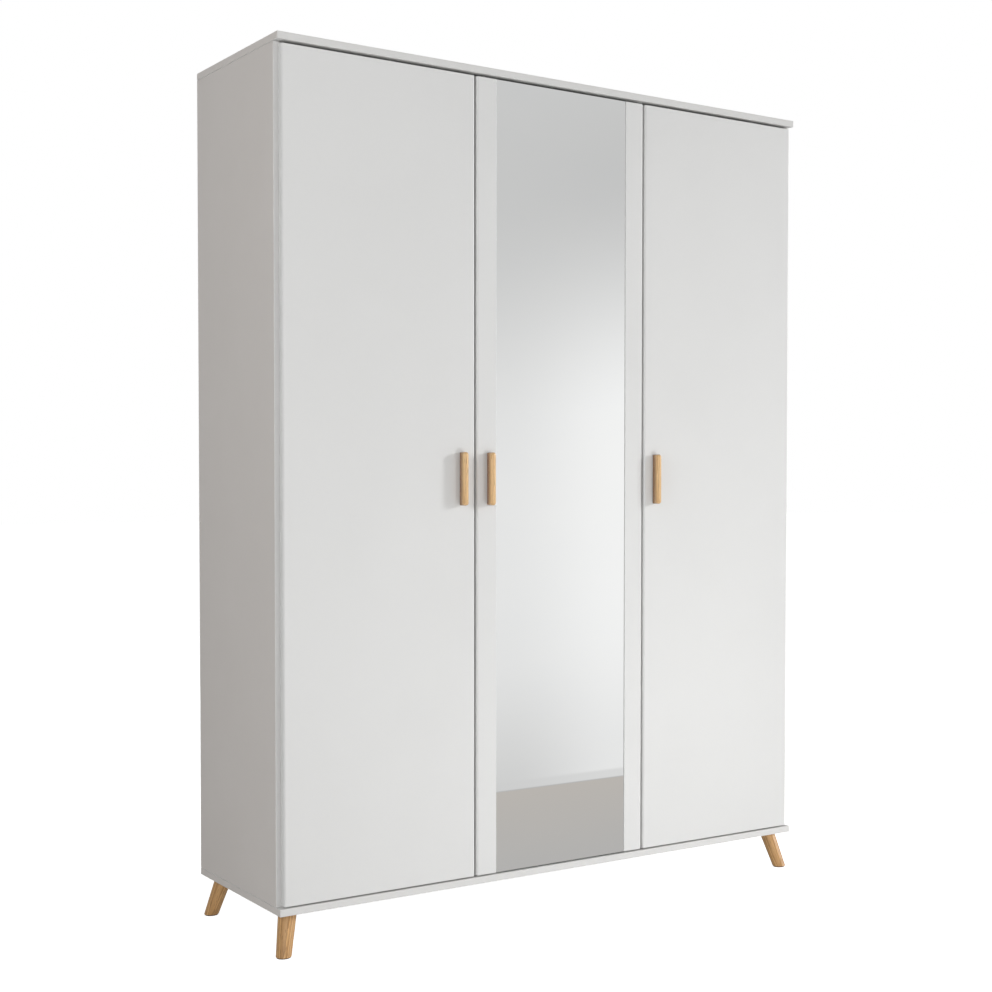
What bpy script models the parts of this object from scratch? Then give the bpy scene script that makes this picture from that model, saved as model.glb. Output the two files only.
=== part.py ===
"""Three-door wardrobe on splayed wooden legs.

Units are metres, +Z is up and the doors face -Y.  The origin is on the floor, under the middle
of the wardrobe's bounding box.
"""
import math

import bmesh
import bpy
from mathutils import Vector

# --- overall size ---------------------------------------------------------------------------
WIDTH = 1.430
HEIGHT = 1.970
CASE_DEPTH = 0.443          # side panels, front edge to rear edge
OVERHANG = 0.022            # top and bottom panels, in front of the side panels
LEG_HEIGHT = 0.094          # floor to the underside of the bottom panel

# --- boards ---------------------------------------------------------------------------------
TOP_BOARD = 0.016
BOARD = 0.016
BACK_BOARD = 0.003
FIT = 0.0003                # assembly gap between two pieces that touch

# --- doors ----------------------------------------------------------------------------------
DOOR_BOARD = 0.016
DOOR_STANDOFF = 0.0025      # side panel's front edge to the door's back
DOOR_REVEAL = 0.0104        # side panel's edge left showing beside the outer doors
DOOR_GAP = 0.0055           # between two doors
DOOR_GAP_TOP = 0.0065
DOOR_GAP_BOTTOM = 0.003
DOOR_EDGE_RADIUS = 0.0025
MIRROR_LIP_RADIUS = 0.0010  # the recess's two lips beside the glass
MIRROR_MARGIN = 0.0517
MIRROR_RECESS = 0.0055
MIRROR_GLASS = 0.003

# --- handles --------------------------------------------------------------------------------
HANDLE_WIDTH = 0.014
HANDLE_LENGTH = 0.122
HANDLE_PROJECTION = 0.022
HANDLE_ROUNDING = 0.0060
HANDLE_INSET = 0.033        # door edge to the handle's centre line

# --- interior -------------------------------------------------------------------------------
SHELF_COUNT = 4
SHELF_SETBACK = 0.020
HAT_SHELF_HEIGHT = 1.620    # underside, from the floor
RAIL_HEIGHT = 1.560
RAIL_TALL = 0.030
RAIL_DEEP = 0.015
RAIL_WALL = 0.0012
RAIL_OFFSET = 0.010         # rail's centre behind the middle of the case
FLANGE_MARGIN = 0.011
FLANGE_THICKNESS = 0.0025
SOCKET_WALL = 0.002
SOCKET_DEPTH = 0.012

# --- back -----------------------------------------------------------------------------------
BACK_INSET = 0.0105         # rear edges to the rear face of the back
GROOVE_DEPTH = 0.006
STRIP_FLANGE = 0.001
STRIP_HALF_WIDTH = 0.009
STRIP_HALF_WEB = 0.0004

# --- concealed hinges -----------------------------------------------------------------------
HINGES_PER_DOOR = 3
HINGE_END_DISTANCE = 0.100  # door's end to the outer hinges
CUP_RADIUS = 0.0175         # 35 mm boring, the furniture standard
CUP_DEPTH = 0.0115
CUP_EDGE_DISTANCE = 0.0225
CUP_WALL = 0.0012
CUP_FLANGE = 0.0007
CUP_FLANGE_HALF_HEIGHT = 0.026
ARM_WIDTH = 0.012
WING_HALF_HEIGHT = 0.026
WING_THICKNESS = 0.002

# --- legs -----------------------------------------------------------------------------------
LEG_TOP_RADIUS = 0.0202
LEG_FOOT_RADIUS = 0.0168
LEG_INSET_X = 0.0384        # case side to the leg's centre, at its top
LEG_INSET_Y = 0.0500        # panel's front or rear edge to the leg's centre, at its top
LEG_SPLAY_X = 0.0220        # how far the foot stands out from the top's centre
LEG_SPLAY_Y = 0.0288
GLIDE_HEIGHT = 0.002
GLIDE_RADIUS = 0.0152
BOLT_RADIUS = 0.004
BOLT_IN_LEG = 0.040
BOLT_IN_PANEL = 0.012

# --- planes that follow from them -----------------------------------------------------------
HALF_WIDTH = WIDTH / 2
TOTAL_DEPTH = CASE_DEPTH + DOOR_STANDOFF + DOOR_BOARD + HANDLE_PROJECTION
REAR = TOTAL_DEPTH / 2
CASE_FRONT = REAR - CASE_DEPTH
PANEL_FRONT = CASE_FRONT - OVERHANG
DOOR_BACK = CASE_FRONT - DOOR_STANDOFF
DOOR_FRONT = DOOR_BACK - DOOR_BOARD
FLOOR_TOP = LEG_HEIGHT + BOARD
CEILING = HEIGHT - TOP_BOARD
INNER_HALF = HALF_WIDTH - BOARD
BACK_REAR = REAR - BACK_INSET
BACK_FRONT = BACK_REAR - BACK_BOARD
INTERIOR_REAR = BACK_FRONT - STRIP_FLANGE - 0.0010
DOOR_BOTTOM = FLOOR_TOP + DOOR_GAP_BOTTOM
DOOR_TOP = CEILING - DOOR_GAP_TOP
DOORS_HALF = HALF_WIDTH - DOOR_REVEAL
DOOR_WIDTH = (2 * DOORS_HALF - 2 * DOOR_GAP) / 3
JOINT_X = DOOR_WIDTH / 2 + DOOR_GAP / 2      # middle of the gap between two doors

# --- finishes: colour, roughness, metallic --------------------------------------------------
WHITE_BOARD = ((0.72, 0.71, 0.69), 0.45, 0.0)
WHITE_DOOR = ((0.80, 0.80, 0.79), 0.40, 0.0)
HARDBOARD = ((0.70, 0.69, 0.67), 0.60, 0.0)
OAK = ((0.52, 0.29, 0.12), 0.50, 0.0)
MIRROR = ((0.86, 0.88, 0.88), 0.02, 1.0)
STEEL = ((0.60, 0.60, 0.60), 0.30, 1.0)
CHROME = ((0.75, 0.75, 0.76), 0.12, 1.0)
PLASTIC = ((0.62, 0.62, 0.60), 0.50, 0.0)
DARK_FELT = ((0.10, 0.08, 0.06), 0.90, 0.0)

ROUND_STEPS = 32
SMALL_ROUND_STEPS = 16


def clear_scene():
    for old in list(bpy.data.objects):
        bpy.data.objects.remove(old, do_unlink=True)


def principled(name, finish):
    colour, roughness, metallic = finish
    material = bpy.data.materials.new(name)
    material.use_nodes = True
    shader = material.node_tree.nodes["Principled BSDF"]
    shader.inputs["Base Color"].default_value = (*colour, 1.0)
    shader.inputs["Roughness"].default_value = roughness
    shader.inputs["Metallic"].default_value = metallic
    material.diffuse_color = (*colour, 1.0)
    return material


def new_object(name, bm, finish):
    """Turns a bmesh in world coordinates into an object whose origin is its middle."""
    bmesh.ops.recalc_face_normals(bm, faces=bm.faces[:])
    spots = [vert.co.copy() for vert in bm.verts]
    low = Vector([min(spot[axis] for spot in spots) for axis in range(3)])
    high = Vector([max(spot[axis] for spot in spots) for axis in range(3)])
    middle = (low + high) / 2
    bmesh.ops.translate(bm, verts=bm.verts[:], vec=-middle)
    mesh = bpy.data.meshes.new(name)
    bm.to_mesh(mesh)
    bm.free()
    obj = bpy.data.objects.new(name, mesh)
    obj.location = middle
    bpy.context.scene.collection.objects.link(obj)
    if finish is not None:
        mesh.materials.append(principled(name, finish))
    return obj


def slab(name, low, high, finish):
    """A board between two opposite corners."""
    bm = bmesh.new()
    bmesh.ops.create_cube(bm, size=1.0)
    size = Vector(high) - Vector(low)
    bmesh.ops.scale(bm, verts=bm.verts[:], vec=size)
    bmesh.ops.translate(bm, verts=bm.verts[:], vec=(Vector(high) + Vector(low)) / 2)
    return new_object(name, bm, finish)


def upright(name, outline, bottom, top, finish):
    """A plan outline of (x, y) corners pulled up from one height to another."""
    bm = bmesh.new()
    base = bm.faces.new([bm.verts.new((x, y, bottom)) for x, y in outline])
    pulled = bmesh.ops.extrude_face_region(bm, geom=[base])["geom"]
    lifted = [item for item in pulled if isinstance(item, bmesh.types.BMVert)]
    bmesh.ops.translate(bm, verts=lifted, vec=(0.0, 0.0, top - bottom))
    return new_object(name, bm, finish)


def loft(name, rings, finish):
    """A skin over closed rings with equal point counts, capped at the first and last ring."""
    bm = bmesh.new()
    loops = [[bm.verts.new(spot) for spot in ring] for ring in rings]
    steps = len(rings[0])
    for lower, upper in zip(loops, loops[1:]):
        for step in range(steps):
            after = (step + 1) % steps
            bm.faces.new((lower[step], lower[after], upper[after], upper[step]))
    bm.faces.new(loops[0])
    bm.faces.new(loops[-1])
    return new_object(name, bm, finish)


def smooth(obj, degrees=40.0):
    obj.data.shade_smooth()
    obj.data.set_sharp_from_angle(angle=math.radians(degrees))


def disc(centre, radius, steps=ROUND_STEPS):
    """A level circle of points."""
    x, y, z = centre
    turns = [2 * math.pi * step / steps for step in range(steps)]
    return [(x + radius * math.cos(a), y + radius * math.sin(a), z) for a in turns]


def oval(centre, half_x, half_z, steps=ROUND_STEPS):
    """An upright ellipse of points that faces along Y."""
    x, y, z = centre
    turns = [2 * math.pi * step / steps for step in range(steps)]
    return [(x + half_x * math.cos(a), y, z + half_z * math.sin(a)) for a in turns]


def flat_oval(centre, half_y, half_z, steps=ROUND_STEPS):
    """A stadium of points that faces along X: two half circles joined by straight flanks."""
    x, y, z = centre
    straight = half_z - half_y
    ring = []
    for step in range(steps):
        a = 2 * math.pi * (step + 0.5) / steps
        lift = straight if math.sin(a) > 0 else -straight
        ring.append((x, y + half_y * math.cos(a), z + lift + half_y * math.sin(a)))
    return ring


def cut(obj, cutter):
    """Takes the cutter's volume out of the object and hides the cutter."""
    cutter.hide_render = True
    cutter.display_type = "WIRE"
    modifier = obj.modifiers.new("cut_" + cutter.name, "BOOLEAN")
    modifier.operation = "DIFFERENCE"
    modifier.solver = "EXACT"
    modifier.object = cutter


def join_with(obj, helper):
    """Adds the helper's volume to the object and hides the helper."""
    helper.hide_render = True
    helper.display_type = "WIRE"
    modifier = obj.modifiers.new("join_" + helper.name, "BOOLEAN")
    modifier.operation = "UNION"
    modifier.solver = "EXACT"
    modifier.object = helper


def hang_on(axis, obj):
    """Parents the object to an axis empty without moving it."""
    obj.location = obj.location - axis.location
    obj.parent = axis


def axis_empty(name, location):
    empty = bpy.data.objects.new(name, None)
    empty.location = location
    empty.empty_display_size = 0.05
    bpy.context.scene.collection.objects.link(empty)
    return empty


# --- case -----------------------------------------------------------------------------------
def leg_top_centre(side, end):
    """side is -1 left or 1 right, end is -1 front or 1 rear."""
    x = side * (HALF_WIDTH - LEG_INSET_X)
    y = PANEL_FRONT + LEG_INSET_Y if end < 0 else REAR - LEG_INSET_Y
    return x, y


def leg_centre(side, end, z):
    """The leaning leg's centre at a height: the top's centre plus its share of the splay."""
    x, y = leg_top_centre(side, end)
    share = (LEG_HEIGHT - z) / LEG_HEIGHT
    return x + side * LEG_SPLAY_X * share, y + end * LEG_SPLAY_Y * share, z


def leaning_post(name, side, end, low, high, low_radius, high_radius, finish, steps):
    rings = [
        disc(leg_centre(side, end, low), low_radius, steps),
        disc(leg_centre(side, end, high), high_radius, steps),
    ]
    return loft(name, rings, finish)


def corner_name(side, end):
    return ("front" if end < 0 else "rear") + "_" + ("left" if side < 0 else "right")


CORNERS = [(side, end) for end in (-1, 1) for side in (-1, 1)]


def side_panel(name, side):
    """A side board with the groove for the back pulled down its inner face."""
    outer = side * HALF_WIDTH
    inner = side * INNER_HALF
    deep = inner + side * GROOVE_DEPTH
    groove_front = BACK_FRONT - FIT
    groove_rear = BACK_REAR + FIT
    outline = [
        (outer, CASE_FRONT),
        (inner, CASE_FRONT),
        (inner, groove_front),
        (deep, groove_front),
        (deep, groove_rear),
        (inner, groove_rear),
        (inner, REAR),
        (outer, REAR),
    ]
    upright(name, outline, FLOOR_TOP + FIT, CEILING - FIT, WHITE_BOARD)


def groove_cutter(name, low_z, high_z):
    """The part of the back's groove that runs along a top or bottom panel."""
    reach = INNER_HALF + GROOVE_DEPTH
    low = (-reach, BACK_FRONT - FIT, low_z)
    high = (reach, BACK_REAR + FIT, high_z)
    return slab(name, low, high, None)


def top_and_bottom():
    top = slab(
        "top_panel",
        (-HALF_WIDTH, PANEL_FRONT, CEILING),
        (HALF_WIDTH, REAR, HEIGHT),
        WHITE_BOARD,
    )
    cut(top, groove_cutter("top_groove", CEILING - GROOVE_DEPTH, CEILING + GROOVE_DEPTH))
    bottom = slab(
        "bottom_panel",
        (-HALF_WIDTH, PANEL_FRONT, LEG_HEIGHT),
        (HALF_WIDTH, REAR, FLOOR_TOP),
        WHITE_BOARD,
    )
    low, high = FLOOR_TOP - GROOVE_DEPTH, FLOOR_TOP + GROOVE_DEPTH
    cut(bottom, groove_cutter("bottom_groove", low, high))
    for side, end in CORNERS:
        hole = leaning_post(
            "panel_bore_" + corner_name(side, end),
            side,
            end,
            LEG_HEIGHT - BOARD,
            LEG_HEIGHT + BOLT_IN_PANEL + FIT,
            BOLT_RADIUS + FIT,
            BOLT_RADIUS + FIT,
            None,
            SMALL_ROUND_STEPS,
        )
        cut(bottom, hole)


def back():
    """Three thin boards in the grooves, joined by strips of H section."""
    ends = [
        -INNER_HALF - GROOVE_DEPTH + FIT,
        -JOINT_X,
        JOINT_X,
        INNER_HALF + GROOVE_DEPTH - FIT,
    ]
    slack = STRIP_HALF_WEB + FIT
    names = ("back_panel_left", "back_panel_middle", "back_panel_right")
    for index, name in enumerate(names):
        left = ends[index] + (slack if index > 0 else 0.0)
        right = ends[index + 1] - (slack if index < 2 else 0.0)
        low = (left, BACK_FRONT, FLOOR_TOP - GROOVE_DEPTH + FIT)
        high = (right, BACK_REAR, CEILING + GROOVE_DEPTH - FIT)
        slab(name, low, high, HARDBOARD)
    front_outer = BACK_FRONT - FIT - STRIP_FLANGE
    front_inner = BACK_FRONT - FIT
    rear_inner = BACK_REAR + FIT
    rear_outer = BACK_REAR + FIT + STRIP_FLANGE
    wide, web = STRIP_HALF_WIDTH, STRIP_HALF_WEB
    for name, x in (("back_strip_left", -JOINT_X), ("back_strip_right", JOINT_X)):
        outline = [
            (x - wide, front_outer),
            (x + wide, front_outer),
            (x + wide, front_inner),
            (x + web, front_inner),
            (x + web, rear_inner),
            (x + wide, rear_inner),
            (x + wide, rear_outer),
            (x - wide, rear_outer),
            (x - wide, rear_inner),
            (x - web, rear_inner),
            (x - web, front_inner),
            (x - wide, front_inner),
        ]
        upright(name, outline, FLOOR_TOP + FIT, CEILING - FIT, PLASTIC)


def interior():
    partition_left = JOINT_X - BOARD / 2
    partition_right = JOINT_X + BOARD / 2
    slab(
        "partition_panel",
        (partition_left, CASE_FRONT, FLOOR_TOP + FIT),
        (partition_right, INTERIOR_REAR, CEILING - FIT),
        WHITE_BOARD,
    )
    slab(
        "hat_shelf",
        (-INNER_HALF + FIT, CASE_FRONT + SHELF_SETBACK, HAT_SHELF_HEIGHT),
        (partition_left - FIT, INTERIOR_REAR, HAT_SHELF_HEIGHT + BOARD),
        WHITE_BOARD,
    )
    clear_height = (CEILING - FLOOR_TOP - SHELF_COUNT * BOARD) / (SHELF_COUNT + 1)
    for index in range(SHELF_COUNT):
        under = FLOOR_TOP + clear_height + index * (clear_height + BOARD)
        slab(
            "shelf_%d" % (index + 1),
            (partition_right + FIT, CASE_FRONT + SHELF_SETBACK, under),
            (INNER_HALF - FIT, INTERIOR_REAR, under + BOARD),
            WHITE_BOARD,
        )
    clothes_rail(-INNER_HALF, partition_left)


def clothes_rail(left, right):
    """An oval tube held at both ends by flanged sockets."""
    y = (CASE_FRONT + REAR) / 2 + RAIL_OFFSET
    half_y, half_z = RAIL_DEEP / 2, RAIL_TALL / 2
    floor = FLANGE_THICKNESS + 2 * FIT
    start, end = left + floor + FIT, right - floor - FIT
    spots = [(start, 0.0), (end, 0.0), (end, RAIL_WALL), (start, RAIL_WALL)]
    rings = [flat_oval((x, y, RAIL_HEIGHT), half_y - w, half_z - w) for x, w in spots]
    bm = bmesh.new()
    loops = [[bm.verts.new(spot) for spot in ring] for ring in rings]
    steps = len(loops[0])
    for index, loop in enumerate(loops):
        following = loops[(index + 1) % len(loops)]
        for step in range(steps):
            after = (step + 1) % steps
            bm.faces.new((loop[step], loop[after], following[after], following[step]))
    smooth(new_object("clothes_rail", bm, CHROME))
    for name, face, inward in (("rail_socket_left", left, 1), ("rail_socket_right", right, -1)):
        base, step_out = FIT, FIT + FLANGE_THICKNESS
        mouth = step_out + SOCKET_DEPTH
        wall = FIT + SOCKET_WALL
        sections = [
            (base, FLANGE_MARGIN),
            (step_out, FLANGE_MARGIN),
            (step_out, wall),
            (mouth, wall),
            (mouth, FIT),
            (floor, FIT),
        ]
        rings = [
            flat_oval((face + inward * u, y, RAIL_HEIGHT), half_y + grow, half_z + grow)
            for u, grow in sections
        ]
        smooth(loft(name, rings, STEEL))


def legs():
    for side, end in CORNERS:
        corner = corner_name(side, end)
        foot = GLIDE_HEIGHT + FIT
        head = LEG_HEIGHT - FIT
        leg = leaning_post(
            "leg_" + corner,
            side,
            end,
            foot,
            head,
            LEG_FOOT_RADIUS,
            LEG_TOP_RADIUS,
            OAK,
            ROUND_STEPS,
        )
        smooth(leg)
        bolt_low = LEG_HEIGHT - BOLT_IN_LEG
        bolt_high = LEG_HEIGHT + BOLT_IN_PANEL
        bore = leaning_post(
            "leg_bore_" + corner,
            side,
            end,
            bolt_low - FIT,
            bolt_high,
            BOLT_RADIUS + FIT,
            BOLT_RADIUS + FIT,
            None,
            SMALL_ROUND_STEPS,
        )
        cut(leg, bore)
        bolt = leaning_post(
            "leg_bolt_" + corner,
            side,
            end,
            bolt_low,
            bolt_high,
            BOLT_RADIUS,
            BOLT_RADIUS,
            STEEL,
            SMALL_ROUND_STEPS,
        )
        smooth(bolt)
        x, y, _ = leg_centre(side, end, foot)
        rings = [disc((x, y, 0.0), GLIDE_RADIUS), disc((x, y, GLIDE_HEIGHT), GLIDE_RADIUS)]
        smooth(loft("glide_" + corner, rings, DARK_FELT))


# --- doors ----------------------------------------------------------------------------------
def hinge_heights():
    low = DOOR_BOTTOM + HINGE_END_DISTANCE
    high = DOOR_TOP - HINGE_END_DISTANCE
    last = HINGES_PER_DOOR - 1
    return [low + (high - low) * index / last for index in range(HINGES_PER_DOOR)]


def cup_boring(name, x, z):
    rings = [
        oval((x, DOOR_BACK - CUP_DEPTH, z), CUP_RADIUS, CUP_RADIUS),
        oval((x, DOOR_BACK + CUP_DEPTH, z), CUP_RADIUS, CUP_RADIUS),
    ]
    return loft(name, rings, None)


def hinge_cup(name, x, z):
    """A round cup sunk in the door's back, with an oval flange over the boring's rim."""
    outer = CUP_RADIUS - FIT
    inner = outer - CUP_WALL
    rim_low = DOOR_BACK + FIT
    rim_high = rim_low + CUP_FLANGE
    floor_out = DOOR_BACK - CUP_DEPTH + FIT
    floor_in = floor_out + CUP_WALL
    rings = [
        oval((x, floor_out, z), outer, outer),
        oval((x, rim_low, z), outer, outer),
        oval((x, rim_low, z), CUP_RADIUS, CUP_FLANGE_HALF_HEIGHT),
        oval((x, rim_high, z), CUP_RADIUS, CUP_FLANGE_HALF_HEIGHT),
        oval((x, rim_high, z), inner, inner),
        oval((x, floor_in, z), inner, inner),
    ]
    cup = loft(name, rings, STEEL)
    smooth(cup)
    return cup


def hinge_arm(name, face, inward, z):
    """A cranked arm on the case: (u, v) is off the panel's face and back from its front edge."""
    profile = [
        (FIT, 0.022),
        (FIT, 0.074),
        (0.010, 0.074),
        (0.012, 0.070),
        (0.012, 0.034),
        (0.023, 0.016),
        (0.023, 0.001),
        (0.011, 0.001),
        (0.011, 0.012),
        (0.003, 0.022),
    ]
    outline = [(face + inward * u, CASE_FRONT + v) for u, v in profile]
    arm = upright(name, outline, z - ARM_WIDTH / 2, z + ARM_WIDTH / 2, STEEL)
    near, far = face + inward * FIT, face + inward * (FIT + WING_THICKNESS)
    low = (min(near, far), CASE_FRONT + 0.028, z - WING_HALF_HEIGHT)
    high = (max(near, far), CASE_FRONT + 0.048, z + WING_HALF_HEIGHT)
    join_with(arm, slab(name + "_wings", low, high, None))
    return arm


def outward_edges(bm):
    """Edges where the board turns a corner outwards; recess corners turn inwards."""
    return [edge for edge in bm.edges if edge.calc_face_angle_signed() > math.radians(40.0)]


def bevel(bm, edges, width, segments=2):
    bmesh.ops.bevel(
        bm, geom=edges, offset=width, segments=segments, profile=0.5, affect="EDGES"
    )


def round_off(obj, lip_xs=()):
    """Rounds every outward corner of a board, and the lips at the given x more tightly."""
    bm = bmesh.new()
    bm.from_mesh(obj.data)
    offset = obj.location.x
    lips = lip_edges(bm, offset, lip_xs)
    bevel(bm, [edge for edge in outward_edges(bm) if edge not in lips], DOOR_EDGE_RADIUS)
    if lip_xs:
        bevel(bm, lip_edges(bm, offset, lip_xs), MIRROR_LIP_RADIUS)
    bm.to_mesh(obj.data)
    bm.free()


def lip_edges(bm, offset, lip_xs):
    """The long upright outward edges at the given x."""
    return [
        edge
        for edge in outward_edges(bm)
        if abs(edge.verts[0].co.z - edge.verts[1].co.z) > 1.0
        and any(abs(edge.verts[0].co.x + offset - x) < 0.001 for x in lip_xs)
    ]


def door_board(name, left, right, has_mirror):
    if not has_mirror:
        low = (left, DOOR_FRONT, DOOR_BOTTOM)
        high = (right, DOOR_BACK, DOOR_TOP)
        return slab(name, low, high, WHITE_DOOR)
    recess_left, recess_right = left + MIRROR_MARGIN, right - MIRROR_MARGIN
    recess = DOOR_FRONT + MIRROR_RECESS
    outline = [
        (left, DOOR_BACK),
        (left, DOOR_FRONT),
        (recess_left, DOOR_FRONT),
        (recess_left, recess),
        (recess_right, recess),
        (recess_right, DOOR_FRONT),
        (right, DOOR_FRONT),
        (right, DOOR_BACK),
    ]
    return upright(name, outline, DOOR_BOTTOM, DOOR_TOP, WHITE_DOOR)


def door_handle(name, x):
    """A short upright bar whose front edges are rounded all the way round."""
    z = (DOOR_BOTTOM + DOOR_TOP) / 2
    root = DOOR_FRONT - FIT
    tip = DOOR_FRONT - HANDLE_PROJECTION
    bm = bmesh.new()
    bmesh.ops.create_cube(bm, size=1.0)
    bmesh.ops.scale(bm, verts=bm.verts[:], vec=(HANDLE_WIDTH, root - tip, HANDLE_LENGTH))
    bmesh.ops.translate(bm, verts=bm.verts[:], vec=(x, (root + tip) / 2, z))
    middle = (root + tip) / 2
    front = [e for e in bm.edges if all(vert.co.y < middle for vert in e.verts)]
    bmesh.ops.bevel(bm, geom=front, offset=HANDLE_ROUNDING, segments=4, profile=0.5, affect="EDGES")
    handle = new_object(name, bm, OAK)
    smooth(handle, 60.0)
    return handle


def door(label, left, hinge_on_left, panel_face, has_mirror=False):
    """One door on its axis, with its handle, its hinge cups and the arms on the case."""
    right = left + DOOR_WIDTH
    hinge_x = left if hinge_on_left else right
    inward = 1 if hinge_on_left else -1
    axis = axis_empty("door_%s_axis" % label, (hinge_x, DOOR_FRONT, (DOOR_BOTTOM + DOOR_TOP) / 2))
    board = door_board("door_" + label, left, right, has_mirror)
    lip_xs = (left + MIRROR_MARGIN, right - MIRROR_MARGIN) if has_mirror else ()
    round_off(board, lip_xs)
    handle_x = (right - HANDLE_INSET) if hinge_on_left else (left + HANDLE_INSET)
    pieces = [board, door_handle("handle_" + label, handle_x)]
    cup_x = hinge_x + inward * CUP_EDGE_DISTANCE
    for index, z in enumerate(hinge_heights(), start=1):
        tag = "%s_%d" % (label, index)
        boring = cup_boring("cup_boring_" + tag, cup_x, z)
        cut(board, boring)
        pieces += [boring, hinge_cup("hinge_cup_" + tag, cup_x, z)]
        hinge_arm("hinge_arm_" + tag, panel_face, inward, z)
    if has_mirror:
        glass_rear = DOOR_FRONT + MIRROR_RECESS - FIT
        low = (left + MIRROR_MARGIN + FIT, glass_rear - MIRROR_GLASS, DOOR_BOTTOM)
        high = (right - MIRROR_MARGIN - FIT, glass_rear, DOOR_TOP)
        pieces.append(slab("mirror_glass", low, high, MIRROR))
    for piece in pieces:
        hang_on(axis, piece)


def doors():
    first = -DOORS_HALF
    step = DOOR_WIDTH + DOOR_GAP
    door("left", first, True, -INNER_HALF)
    door("middle", first + step, False, JOINT_X - BOARD / 2, has_mirror=True)
    door("right", first + 2 * step, False, INNER_HALF)


def build():
    clear_scene()
    top_and_bottom()
    side_panel("side_panel_left", -1)
    side_panel("side_panel_right", 1)
    back()
    interior()
    legs()
    doors()


build()
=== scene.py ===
import math

import bpy
import numpy as np
from mathutils import Matrix, Vector


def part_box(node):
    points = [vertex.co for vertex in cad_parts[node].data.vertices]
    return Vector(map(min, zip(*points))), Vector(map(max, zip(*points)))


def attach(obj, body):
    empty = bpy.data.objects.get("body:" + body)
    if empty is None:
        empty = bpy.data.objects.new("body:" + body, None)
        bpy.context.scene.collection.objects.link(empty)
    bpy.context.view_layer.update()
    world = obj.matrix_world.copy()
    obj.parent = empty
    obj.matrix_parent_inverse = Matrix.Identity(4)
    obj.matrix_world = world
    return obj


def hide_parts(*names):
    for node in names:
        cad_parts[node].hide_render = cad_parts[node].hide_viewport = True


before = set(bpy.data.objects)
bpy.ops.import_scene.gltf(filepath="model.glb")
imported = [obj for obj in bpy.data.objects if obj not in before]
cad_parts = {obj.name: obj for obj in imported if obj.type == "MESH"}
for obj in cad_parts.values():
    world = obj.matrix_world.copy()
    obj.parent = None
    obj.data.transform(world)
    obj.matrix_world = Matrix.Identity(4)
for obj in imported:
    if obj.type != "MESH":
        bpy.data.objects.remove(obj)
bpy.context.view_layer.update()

quarter = math.pi / 2
millimetre = 0.001


# Every shape is a stack of rings, worked out as whole arrays.

# Corners of a CAD part as two arrays, lowest and highest.
def cornersOf(node):
    low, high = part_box(node)
    return np.array(low), np.array(high)


# Quads between neighbouring rings: face (i, j) joins points j and j+1 of rings i and i+1.
def ringFaces(rows, around, loop=False):
    ring = np.arange(rows if loop else rows - 1)[:, None] * around
    nextRing = (ring + around) % (rows * around)
    here = np.arange(around)[None, :]
    after = (here + 1) % around
    quads = np.stack([ring + here, ring + after, nextRing + after, nextRing + here], -1)
    return quads.reshape(-1, 4).tolist()


# A skin over rings shaped (rows, around, 3). It is closed by a flat cap at each end,
# or by joining the last ring to the first one.
def skin(rings, loop=False):
    rows, around = rings.shape[:2]
    faces = ringFaces(rows, around, loop)
    if not loop:
        last = (rows - 1) * around
        faces.append(list(range(around))[::-1])
        faces.append(list(range(last, last + around)))
    return rings.reshape(-1, 3), faces


# An outline with softened corners. Each corner becomes an arc:
# point = corner - r*(n1+n2)/(1+n1.n2) + r*n(turn), n turning from the normal of the edge
# before to the normal of the edge after. The second array says which way each point moves
# as the outline shrinks. Corners run anticlockwise.
def softOutline(corners, radius, steps=3):
    corners = np.asarray(corners, float)
    radius = np.broadcast_to(np.asarray(radius, float), len(corners))[:, None, None]
    edge = np.roll(corners, -1, 0) - corners
    edge = edge / np.linalg.norm(edge, axis=1, keepdims=True)
    after = np.stack([edge[:, 1], -edge[:, 0]], 1)
    before = np.roll(after, 1, 0)
    facing = (before * after).sum(1, keepdims=True)
    mitre = ((before + after) / (1 + facing))[:, None]
    turn = np.arctan2(before[:, 0] * after[:, 1] - before[:, 1] * after[:, 0], facing[:, 0])
    share = np.linspace(0, 1, steps + 1)
    angle = np.arctan2(before[:, 1], before[:, 0])[:, None] + turn[:, None] * share
    normal = np.stack([np.cos(angle), np.sin(angle)], -1)
    points = corners[:, None] - radius * mitre + radius * normal
    inward = np.where(radius > 0, -normal, -mitre + 0 * normal)
    keep = (radius[:, :, 0] > 0) | (np.arange(steps + 1)[None] == 0)
    return points[keep], inward[keep]


# The outline pulled along an axis, its ends rounded by quarter circles:
# place = start + e(1 - cos s), inset = e(1 - sin s), s from 0 to a quarter turn.
def pulled(outline, axis, start, end, edge=0.0, steps=3):
    points, inward = outline
    s = np.linspace(0, quarter, steps + 1) if edge else np.array([quarter])
    lift = edge * (1 - np.cos(s))
    inset = edge * (1 - np.sin(s))
    place = np.concatenate([start + lift, (end - lift)[::-1]])
    inset = np.concatenate([inset, inset[::-1]])
    rings = np.empty((len(place), len(points), 3))
    flat = points[None] + inward[None] * inset[:, None, None]
    rings[..., axis] = place[:, None]
    rings[..., (axis + 1) % 3] = flat[..., 0]
    rings[..., (axis + 2) % 3] = flat[..., 1]
    return skin(rings)


# A board between two opposite corners, pulled along one axis, with softened edges.
def boardPart(low, high, axis, edge=0.0, steps=3):
    a, b = (axis + 1) % 3, (axis + 2) % 3
    corners = [(low[a], low[b]), (high[a], low[b]), (high[a], high[b]), (low[a], high[b])]
    outline = softOutline(corners, edge * 1.15, steps)
    return pulled(outline, axis, low[axis], high[axis], edge, steps)


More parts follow.
